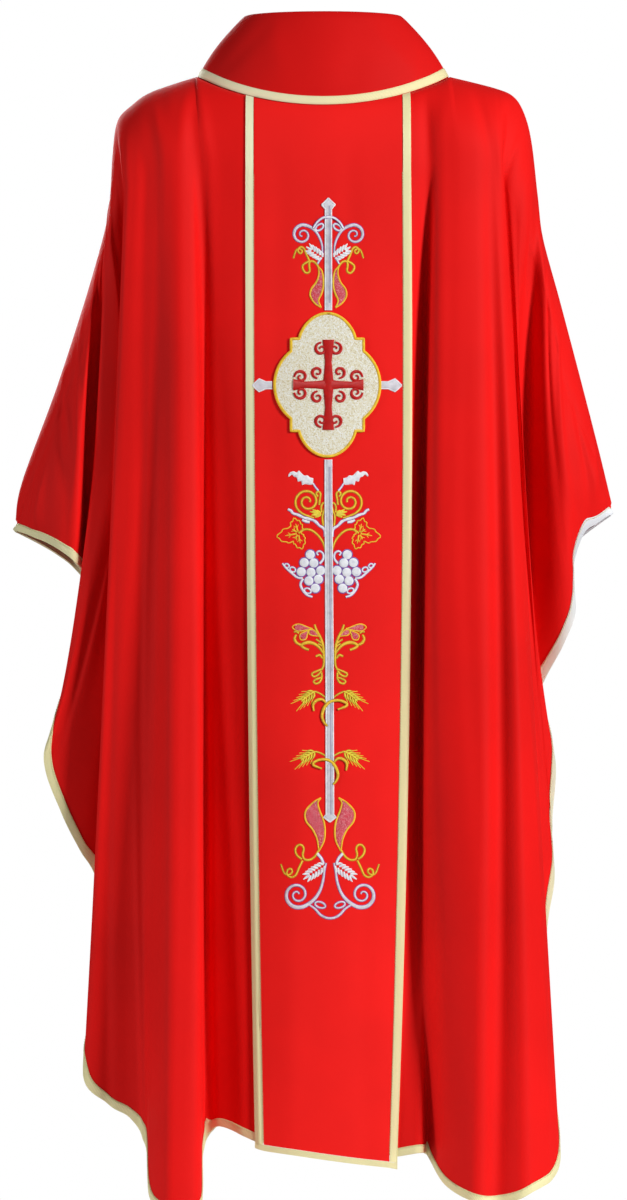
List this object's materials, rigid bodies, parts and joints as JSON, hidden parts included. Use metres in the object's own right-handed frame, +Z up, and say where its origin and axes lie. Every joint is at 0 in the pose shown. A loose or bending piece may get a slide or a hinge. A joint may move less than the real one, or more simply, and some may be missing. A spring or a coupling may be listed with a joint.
{
  "type": "chasuble",
  "caption": "Red chasuble held in its worn, hollow form, with a standing collar, hanging folds, gold edge bindings and a raised cross on an applied centre column.",
  "frame": {"origin": "middle of the neck at the height of the shoulders, where the wearer holds the garment up", "axes": "+Z up; +X to the right of someone who looks at the back; -Y is the back with the centre column, +Y the plain front; millimetres in the source, metres here"},
  "size_m": [0.7301, 0.3691, 1.4417],
  "materials": {
    "red_cloth": "plain woven polyester with a slight satin sheen",
    "red_orphrey": "the same plain weave, smoother, backed and a little brighter",
    "gold_binding": "pale gold ribbed braid, stitched along its inner edge",
    "glitter_cloth": "cream cloth with fine glitter",
    "silver_thread": "silver satin stitch with white edges",
    "gold_thread": "gold and olive satin stitch",
    "pink_thread": "pink stitch with glitter",
    "violet_thread": "violet-blue outline stitch",
    "red_thread": "glossy red satin stitch"
  },
  "bodies": {
    "root": {"panel_back": "red_cloth", "panel_front": "red_cloth", "collar": "red_cloth", "binding_neck": "gold_binding", "binding_back_left": "gold_binding", "binding_back_right": "gold_binding", "binding_front": "gold_binding", "orphrey": "red_orphrey", "band_left": "gold_binding", "band_right": "gold_binding", "band_hem": "gold_binding", "medallion": "glitter_cloth", "staff_upper": "silver_thread", "staff_lower": "silver_thread", "arm_left": "silver_thread", "arm_right": "silver_thread"}
  },
  "joints": []
}
